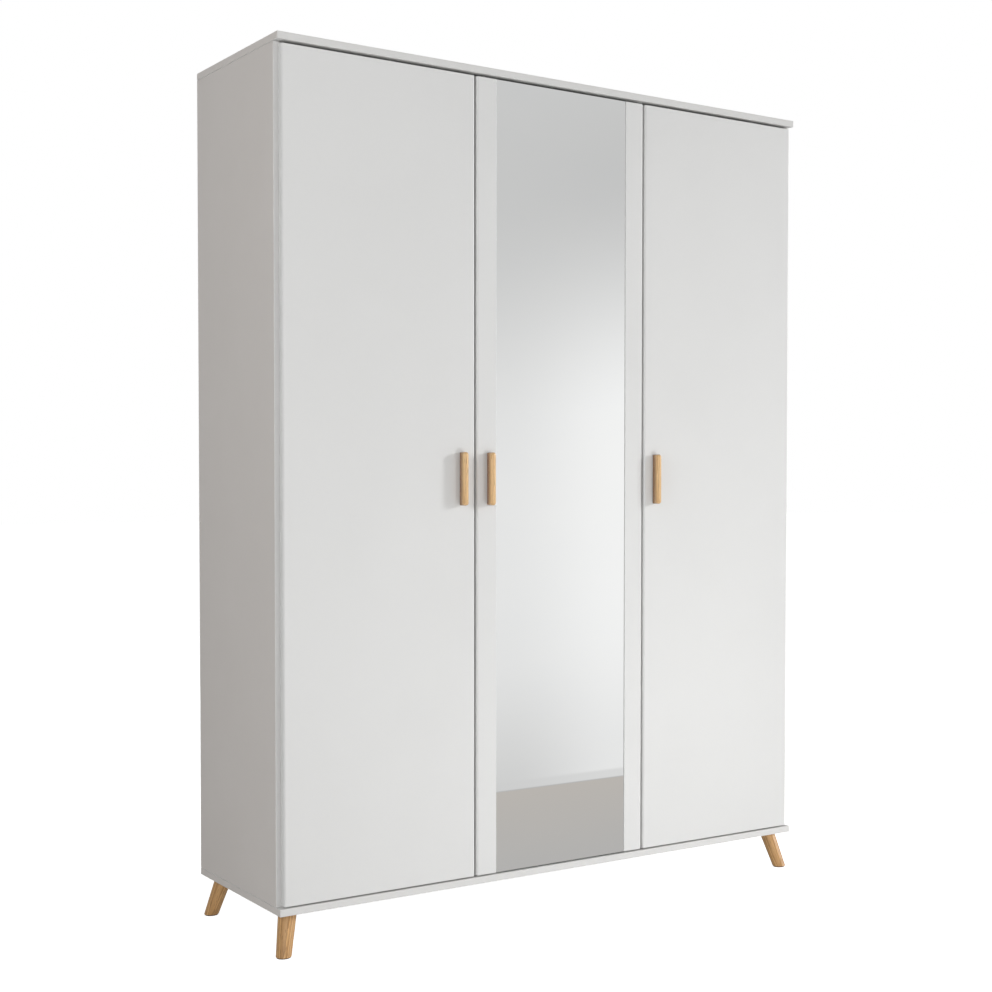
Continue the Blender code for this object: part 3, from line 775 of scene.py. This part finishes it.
# A leaning turned post: point = centre(z) + r(z)(cos t, sin t). The profile goes up the
# outside, over the top and down the bore for the bolt.
def makeLegs():
    for end in ("front", "rear"):
        for side in ("left", "right"):
            corner = end + "_" + side
            label = end.capitalize() + side.capitalize()
            low, high = cornersOf("leg_" + corner)
            # which way the leg leans out, and its foot's and head's centres
            out = np.array([-1 if side == "left" else 1, -1 if end == "front" else 1])
            outer = np.where(out < 0, low[:2], high[:2])
            inner = np.where(out < 0, high[:2], low[:2])
            foot = outer - out * leg["footRadius"]
            head = inner + out * leg["topRadius"]
            tall = high[2] - low[2]
            s = np.linspace(0, quarter, 5)
            e, c = leg["footEdge"], leg["topEdge"]
            shaft = np.linspace(e, tall - c, 9)[1:-1]
            up = np.concatenate([e * (1 - np.cos(s)), shaft, tall - c + c * np.sin(s)])
            inset = np.concatenate([e * (1 - np.sin(s)), 0 * shaft, c * (1 - np.cos(s))])
            share = up / tall
            radius = leg["footRadius"] + (leg["topRadius"] - leg["footRadius"]) * share - inset
            up = np.concatenate([up, [tall, tall - leg["boreDepth"]]])
            radius = np.concatenate([radius, [leg["bore"], leg["bore"]]])
            share = (up / tall)[:, None]
            centre = np.concatenate([foot + (head - foot) * share, np.zeros((len(up), 1))], 1)
            post = roundPart(centre, low[2] + up, radius, axis=2, steps=64)
            lean = head - foot
            turn = (math.atan2(lean[1], tall), -math.atan2(lean[0], tall), 0.0)
            middle = (*((head + foot) / 2), (low[2] + high[2]) / 2)
            finish = oakFinish("oakLeg" + label, middle, turn, legLook)
            name = "leg" + label
            place(linked(name, meshOf(name, [post])), [finish], "case", "oak", ["leg_" + corner])
            makeGlide(corner, label)
            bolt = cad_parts["leg_bolt_" + corner]
            bolt.data.materials.clear()
            bolt.data.materials.append(hingeNickel)


# Felt glide: a low disc with a rounded rim.
def makeGlide(corner, label):
    low, high = cornersOf("glide_" + corner)
    radius, tall = (high[0] - low[0]) / 2, high[2] - low[2]
    s = np.linspace(-quarter, quarter, 7)
    soft = tall * 0.3
    up = np.where(s < 0, soft * (1 + np.sin(s)), tall - soft + soft * np.sin(s))
    reach = radius - soft * (1 - np.cos(s))
    disc = roundPart(((low[0] + high[0]) / 2, (low[1] + high[1]) / 2, 0), low[2] + up, reach, steps=48)
    name = "glide" + label
    place(linked(name, meshOf(name, [disc])), [glideFelt], "case", "glide_felt", ["glide_" + corner])


makeLegs()
print("legs made")


door = {
    "upright": 5.0 * millimetre,     # rounding of the two upright front edges
    "rear": 1.8 * millimetre,        # the two upright rear edges
    "edge": 1.1 * millimetre,        # every other edge
    "cupRadius": 17.5 * millimetre,
    "cupDepth": 11.5 * millimetre,
}
mirrorDoor = {"margin": 51.7 * millimetre, "recess": 5.5 * millimetre}


# Door outlines seen from above. The mirror door's has a shallow recess between two
# margins, open at both ends.
def doorPart(low, high, hasMirror):
    soft = door["edge"] * 1.15
    left, right = low[0] + mirrorDoor["margin"], high[0] - mirrorDoor["margin"]
    deep = low[1] + mirrorDoor["recess"]
    recess = [(left, low[1]), (left, deep), (right, deep), (right, low[1])]
    corners = [(low[0], low[1]), *(recess if hasMirror else []), (high[0], low[1])]
    corners += [(high[0], high[1]), (low[0], high[1])]
    radii = [door["upright"], *([soft, 0, 0, soft] if hasMirror else []), door["upright"]]
    radii += [door["rear"], door["rear"]]
    return pulled(softOutline(corners, radii, 8), 2, low[2], high[2], door["edge"], 3)


def makeDoors():
    for side in ("left", "middle", "right"):
        node = "door_" + side
        low, high = cornersOf(node)
        name = "doorBoard" + side.capitalize()
        obj = linked(name, meshOf(name, [doorPart(low, high, side == "middle")]))
        borings = []
        for index in (1, 2, 3):
            cupLow, cupHigh = cornersOf("hinge_cup_%s_%d" % (side, index))
            centre = ((cupLow[0] + cupHigh[0]) / 2, high[1], (cupLow[2] + cupHigh[2]) / 2)
            reach = [door["cupRadius"]] * 2
            borings.append(roundPart(centre, [-door["cupDepth"], 0.01], reach, axis=1, steps=64))
        cutAway(obj, borings)
        place(obj, [doorWhite], node + "_leaf", "white_door", [node])


# Silvered glass with softened edges; the silver shows through its front face only.
def makeMirror():
    low, high = cornersOf("mirror_glass")
    mesh = meshOf("mirror", [boardPart(low, high, 2, 0.35 * millimetre, 2)])
    paintSide(mesh, 1, -1, 1)
    place(linked("mirror", mesh), [glassEdge, silvered], "door_middle_leaf", "mirror_glass", ["mirror_glass"])


handle = {
    "front": 6.3 * millimetre,       # rounding of the front, all the way round
    "rootCorner": 2.4 * millimetre,  # corner of the section where it meets the door
    "waist": 0.5 * millimetre,       # how much narrower each side is at the door
    # share of the waist at these depths from the door
    "waistRings": [(0, 1.15), (0.4 * millimetre, 1.0), (4 * millimetre, 0.62), (9 * millimetre, 0.25)],
    "frontCorner": 6.6 * millimetre,
}
handleLook = {
    "early": (0.90, 0.60, 0.28), "late": (0.66, 0.37, 0.14), "pore": (0.14, 0.065, 0.02),
    "shadeTone": (0.20, 0.085, 0.025), "rings": 85.0, "pores": 0.5, "bump": 0.3,
    "coat": 1.0, "heart": (0.03, 0.02, 0.0),
}


# The handle is a stack of rounded rectangles from the door outwards: half sizes shrink by
# f(1 - cos s) over the last f of depth, and the corner radius grows from root to front.
def makeHandles():
    for side in ("left", "middle", "right"):
        node = "handle_" + side
        low, high = cornersOf(node)
        middle, half = (low + high) / 2, (high - low) / 2
        front, deep = handle["front"], high[1] - low[1]
        s = np.linspace(0, quarter, 9)
        waistDepth, waistShare = np.array(handle["waistRings"]).T
        depth = np.concatenate([waistDepth, deep - front + front * np.sin(s)])
        inset = np.concatenate([handle["waist"] * waistShare, front * (1 - np.cos(s))])
        share = np.clip(depth / (deep - front), 0, 1)
        corner = handle["rootCorner"] + (handle["frontCorner"] - handle["rootCorner"]) * share
        corner = np.maximum(corner - inset, 0.0005)[:, None]
        steps = 7
        arc = np.linspace(0, quarter, steps)[None]
        turn = np.concatenate([arc + quarter * q for q in range(4)], 1)
        wayZ = np.repeat([1, -1, -1, 1], steps)[None]
        wayX = np.repeat([1, 1, -1, -1], steps)[None]
        reachZ, reachX = half[2] - inset[:, None] - corner, half[0] - inset[:, None] - corner
        rings = np.empty((len(depth), turn.shape[1], 3))
        rings[..., 0] = middle[0] + wayX * reachX + corner * np.sin(turn)
        rings[..., 1] = high[1] - depth[:, None]
        rings[..., 2] = middle[2] + wayZ * reachZ + corner * np.cos(turn)
        look = dict(handleLook, heart=(handleLook["heart"][0], handleLook["heart"][1], middle[0] * 3))
        # painted shade: the handle darkens towards the door
        look["shade"] = (low[1] + 0.1 * deep, low[1] + 0.85 * deep)
        finish = oakFinish("oakHandle" + side.capitalize(), middle, (0.02, -0.015, 0.0), look)
        name = "handle" + side.capitalize()
        obj = linked(name, meshOf(name, [skin(rings)]))
        place(obj, [finish], "door_%s_leaf" % side, "oak", [node], 50.0)


makeDoors()
makeMirror()
makeHandles()
print("doors made")


hinge = {
    # the arm in plan: away from the panel's face, and back from the front edge
    "arm": [
        (0.0003, 0.0220), (0.0003, 0.0740), (0.0100, 0.0740), (0.0120, 0.0700), (0.0120, 0.0340),
        (0.0230, 0.0160), (0.0230, 0.0010), (0.0110, 0.0010), (0.0110, 0.0120), (0.0030, 0.0220),
    ],
    "armRadius": 0.9 * millimetre,
    "armWidth": 12 * millimetre,
    "armEdge": 0.6 * millimetre,
    "wing": (0.028, 0.048, 0.0023),   # front, rear and height of the mounting plate's wings
    "wingCorner": 8 * millimetre,
    "screw": {"radius": 3.4 * millimetre, "height": 0.9 * millimetre},
    "adjuster": {"radius": 2.8 * millimetre, "height": 0.5 * millimetre},
    "cupWall": 1.2 * millimetre,
    "cupScrew": {"radius": 3.0 * millimetre, "height": 0.45 * millimetre},
}


# Cranked arm: its plan outline carried up its width, on a mounting plate with two wings.
def hingeArmParts(low, high, inward):
    face = (low[0] if inward > 0 else high[0]) - inward * 0.0003
    front, z = low[1] - 0.001, (low[2] + high[2]) / 2
    profile = [(face + inward * u, front + v) for u, v in hinge["arm"]]
    if inward > 0:
        profile = profile[::-1]
    outline, side = softOutline(profile, hinge["armRadius"], 3), hinge["armWidth"] / 2
    arm = pulled(outline, 2, z - side, z + side, hinge["armEdge"], 2)
    wingFront, wingRear, wingHigh = hinge["wing"]
    corners = [
        (front + wingFront, low[2]), (front + wingRear, low[2]),
        (front + wingRear, high[2]), (front + wingFront, high[2]),
    ]
    ends = sorted((face + inward * 0.0003, face + inward * wingHigh))
    plate = pulled(softOutline(corners, hinge["wingCorner"], 6), 0, ends[0], ends[1], 0.0005, 2)
    middle = front + (wingFront + wingRear) / 2
    screws = [
        screwPart((face + inward * wingHigh, middle, z + up * 0.019), 0, inward, hinge["screw"])
        for up in (-1, 1)
    ]
    adjusters = [
        screwPart((face + inward * 0.012, front + back, z), 0, inward, hinge["adjuster"])
        for back in (0.044, 0.062)
    ]
    return [arm, plate] + screws + adjusters


# Sunk cup: out over the oval flange, in at the mouth and down to the floor of the cup,
# with the link that folds into it and a screw at each end of the flange.
def hingeCupParts(low, high):
    x, z = (low[0] + high[0]) / 2, (low[2] + high[2]) / 2
    flangeX, flangeZ = (high[0] - low[0]) / 2, (high[2] - low[2]) / 2
    outer = flangeX - 0.0003
    inner = outer - hinge["cupWall"]
    floor, rimHigh, rimLow, soft = low[1], high[1], high[1] - 0.0007, 0.0003
    along = [
        floor, floor + 0.001, rimLow, rimLow, rimLow + soft, rimHigh,
        rimHigh, rimHigh - 0.0008, floor + 0.0022, floor + 0.0012,
    ]
    wall, mouth = [outer - 0.001, outer, outer], [inner + 0.0005, inner, inner, inner - 0.001]
    halfX, halfZ = (wall + [reach, reach, reach - soft] + mouth for reach in (flangeX, flangeZ))
    cup = roundPart((x, 0, z), along, halfZ, halfX, axis=1, steps=64)
    linkLow = np.array([x - 0.009, floor + 0.0013, z - 0.0065])
    linkHigh = np.array([x + 0.006, rimHigh - 0.0006, z + 0.0065])
    link = boardPart(linkLow, linkHigh, 2, 0.0008, 2)
    screws = [
        screwPart((x, rimHigh, z + up * 0.0212), 1, 1, hinge["cupScrew"])
        for up in (-1, 1)
    ]
    return [cup, link] + screws


def makeHinges():
    inward = {"left": 1, "middle": -1, "right": -1}
    for side in ("left", "middle", "right"):
        for index in (1, 2, 3):
            tag = "%s_%d" % (side, index)
            label = side.capitalize() + str(index)
            arm = meshOf("hingeArm" + label, hingeArmParts(*cornersOf("hinge_arm_" + tag), inward[side]))
            place(linked(arm.name, arm), [hingeNickel], "case", "hardware_steel", ["hinge_arm_" + tag])
            cup = meshOf("hingeCup" + label, hingeCupParts(*cornersOf("hinge_cup_" + tag)))
            body = "door_%s_leaf" % side
            place(linked(cup.name, cup), [hingeNickel], body, "hardware_steel", ["hinge_cup_" + tag])


makeHinges()
print("hinges made")


studio = {
    "ambient": 0.22,           # soft light from all round
    "mirrored": 0.5,           # what glossy surfaces see all round
    "floorTone": 0.86,
    "floorGlow": 0.84,
}
# each lamp's place, the spot it faces, its width, its power and whether it shows in gloss
lamps = {
    "keyLamp": ((12.5, -6.3, 3.9), (0.0, -0.2, 1.0), 2.4, 930.0, True),
    "fillLamp": ((0.6, -1.78, 0.06), (0.0, -0.2, 0.6), 0.9, 14.8, False),
    "sideLamp": ((-3.4, -1.5, 2.2), (-0.7, 0.0, 1.2), 1.8, 31.0, False),
    "frontLamp": ((-2.9, -4.8, 1.5), (0.0, -0.2, 1.0), 1.6, 28.0, True),
    "rearLamp": ((1.4, 4.0, 1.5), (0.0, 0.2, 1.0), 2.0, 36.0, False),
}


# A flat sheet of the studio, from one corner along two sides.
def sheetOf(name, corner, sideA, sideB):
    corner, sideA, sideB = np.array([corner, sideA, sideB], float)
    points = np.array([corner, corner + sideA, corner + sideA + sideB, corner + sideB])
    mesh = bpy.data.meshes.new(name)
    mesh.from_pydata(points, [], [(0, 1, 2, 3)])
    obj = linked(name, mesh)
    return obj


# Pale floor. What the camera sees of it is lifted, so that it runs out into white.
def makeFloor():
    floor = sheetOf("floor", (-30, -30, 0), (60, 0, 0), (0, 60, 0))
    material, tree, shader, spot = newFinish("paleFloor", Roughness=0.8)
    tone = studio["floorTone"]
    grain = mixed(tree, noise(tree, spot, 8.0, 4.0), rgb(tone), rgb(tone * 0.985))
    tree.links.new(grain, shader.inputs["Base Color"])
    shader.inputs["Specular IOR Level"].default_value = 0.1
    seen = put(tree, "LightPath").outputs["Is Camera Ray"]
    shader.inputs["Emission Color"].default_value = rgb(1.0)
    tree.links.new(sumOf(tree, "MULTIPLY", seen, studio["floorGlow"]), shader.inputs["Emission Strength"])
    floor.data.materials.append(material)


# White all round for the camera, a pale grey in reflections, and a softer level for the
# light that falls on the object.
def makeWorld():
    world = bpy.data.worlds.new("whiteStudio")
    bpy.context.scene.world = world
    world.use_nodes = True
    tree = world.node_tree
    path = put(tree, "LightPath").outputs
    ambient = studio["ambient"]
    mirrored = sumOf(tree, "MULTIPLY", path["Is Glossy Ray"], studio["mirrored"] - ambient)
    seen = sumOf(tree, "MULTIPLY", path["Is Camera Ray"], 1.0 - ambient)
    level = sumOf(tree, "ADD", sumOf(tree, "ADD", seen, ambient), mirrored)
    tree.nodes["Background"].inputs["Color"].default_value = rgb(1.0)
    tree.links.new(level, tree.nodes["Background"].inputs["Strength"])


def makeLamps():
    for name, (spot, target, width, power, inGloss) in lamps.items():
        data = bpy.data.lights.new(name, "AREA")
        data.shape, data.size, data.energy = "DISK", width, power
        lamp = linked(name, data)
        lamp.location = spot
        lamp.rotation_mode = "QUATERNION"
        lamp.rotation_quaternion = (Vector(spot) - Vector(target)).to_track_quat("Z", "Y")
        lamp.visible_camera, lamp.visible_glossy = False, inGloss


# painted reflection: the tones below paint a room's light and shade onto glowing cards for the mirror
reflection = {
    "wallY": -1.5256,
    "from": -4.0,                # left end of wall and floor
    "width": 5.75,
    "wallHeight": 4.5,
    "floorDepth": 1.32,
    "floorLift": 0.0008,
    # the wall's tones run from left to right between these two places
    "left": 0.589,
    "wide": 0.506,
    "slope": 0.22,               # rise of the tones towards the right
    # painted light and shade of a made-up wall: dim at its foot, pale over its middle, dim again above; paler
    # on the right
    "span": 2.4,                 # height that the tones' stops are shares of
    "leftTones": [(0.0, 205), (0.4, 225), (1.2, 225), (1.8, 200)],
    "rightTones": [(0.0, 230), (0.4, 240), (1.2, 240), (1.8, 200)],
    "skirting": 0.037,
    "skirtingEdge": 0.012,
    "skirtingTones": (205, 215),
    "joint": 0.006,              # dark line where wall and floor meet
    "jointTone": 170,
    "farTone": (185, 180, 175),  # the floor by the wall, then by the wardrobe
    "nearTone": (175, 175, 175),
    "toneDepth": 1.3,            # depth over which the floor's tone changes
    "shine": 0.882,              # share of light that the silver sends back
}


# sRGB grey to the linear value that the mirror has to receive for it.
def asSeen(grey):
    share = grey / 255
    return ((share + 0.055) / 1.055) ** 2.4 / reflection["shine"]


def glowing(name):
    material = bpy.data.materials.new(name)
    material.use_nodes = True
    tree = material.node_tree
    tree.nodes.clear()
    glow = put(tree, "Emission")
    out = put(tree, "OutputMaterial")
    tree.links.new(glow.outputs[0], out.inputs["Surface"])
    return material, tree, glow, put(tree, "TexCoord").outputs["Object"]


# What the mirror faces: a painted reflection on glowing cards, which are no lamps: a made-up
# pale wall with painted light most across its middle, its skirting and a grey floor. Only
# glossy rays meet them.
def makeReflection():
    y, start, width = reflection["wallY"], reflection["from"], reflection["width"]
    wall = sheetOf("paintedReflectionWall", (start, y, 0), (width, 0, 0), (0, 0, reflection["wallHeight"]))
    material, tree, glow, spot = glowing("wallLight")
    x, _, z = put(tree, "SeparateXYZ", None, Vector=spot).outputs
    aside = sumOf(tree, "SUBTRACT", x, reflection["left"])
    across = eased(tree, sumOf(tree, "DIVIDE", aside, reflection["wide"]), 0.0, 1.0)
    slant = sumOf(tree, "SUBTRACT", z, sumOf(tree, "MULTIPLY", aside, reflection["slope"]))
    span = reflection["span"]
    height = sumOf(tree, "DIVIDE", slant, span)
    tones = []
    for stops in (reflection["leftTones"], reflection["rightTones"]):
        stops = [(up / span, (asSeen(grey),) * 3) for up, grey in stops]
        tones.append(ramp(tree, height, stops, "CARDINAL"))
    mix = mixed(tree, across, *tones)
    skirting = reflection["skirting"]
    low = mixed(tree, across, *(rgb(asSeen(grey)) for grey in reflection["skirtingTones"]))
    mix = mixed(tree, eased(tree, z, skirting, skirting - reflection["skirtingEdge"]), mix, low)
    joint = eased(tree, z, reflection["joint"], 0.0)
    mix = mixed(tree, joint, mix, rgb(asSeen(reflection["jointTone"])))
    tree.links.new(mix, glow.inputs["Color"])
    wall.data.materials.append(material)
    corner = (start, y, reflection["floorLift"])
    ground = sheetOf("paintedReflectionFloor", corner, (width, 0, 0), (0, reflection["floorDepth"], 0))
    material, tree, glow, spot = glowing("floorLight")
    depth = put(tree, "SeparateXYZ", None, Vector=spot).outputs[1]
    share = sumOf(tree, "DIVIDE", sumOf(tree, "SUBTRACT", depth, y), reflection["toneDepth"])
    ends = ((0.0, reflection["farTone"]), (1.0, reflection["nearTone"]))
    tones = [(stop, tuple(asSeen(grey) for grey in tone)) for stop, tone in ends]
    tree.links.new(ramp(tree, share, tones), glow.inputs["Color"])
    ground.data.materials.append(material)
    for card in (wall, ground):
        card.visible_camera = card.visible_diffuse = card.visible_shadow = False
        card.visible_transmission = card.visible_volume_scatter = False


view = {
    "place": (-2.089856, -3.462651, 1.041091),
    "yaw": 36.60496,        # degrees to the right of straight at the doors
    "pitch": 1.73595,       # degrees downwards
    "roll": 0.21572,
    "lens": 58.684,
    "shift": (-0.1754, 0.02804),
}


# Camera axes: forward from yaw and pitch, right level with the floor, both turned by roll.
def makeCamera():
    yaw, pitch, roll = (math.radians(view[key]) for key in ("yaw", "pitch", "roll"))
    forward = np.array([math.sin(yaw) * math.cos(pitch), math.cos(yaw) * math.cos(pitch), -math.sin(pitch)])
    right = np.array([math.cos(yaw), -math.sin(yaw), 0.0])
    up = np.cross(right, forward)
    side = math.cos(roll) * right + math.sin(roll) * up
    top = math.cos(roll) * up - math.sin(roll) * right
    turned = np.eye(4)
    turned[:3, 0], turned[:3, 1], turned[:3, 2], turned[:3, 3] = side, top, -forward, view["place"]
    data = bpy.data.cameras.new("camera")
    data.sensor_width, data.lens = 36.0, view["lens"]
    data.shift_x, data.shift_y = view["shift"]
    camera = linked("camera", data)
    camera.matrix_world = Matrix(turned.tolist())
    bpy.context.scene.camera = camera


makeFloor()
makeWorld()
makeLamps()
makeReflection()
makeCamera()
bpy.context.scene.view_settings.view_transform = "Standard"
print("studio made")
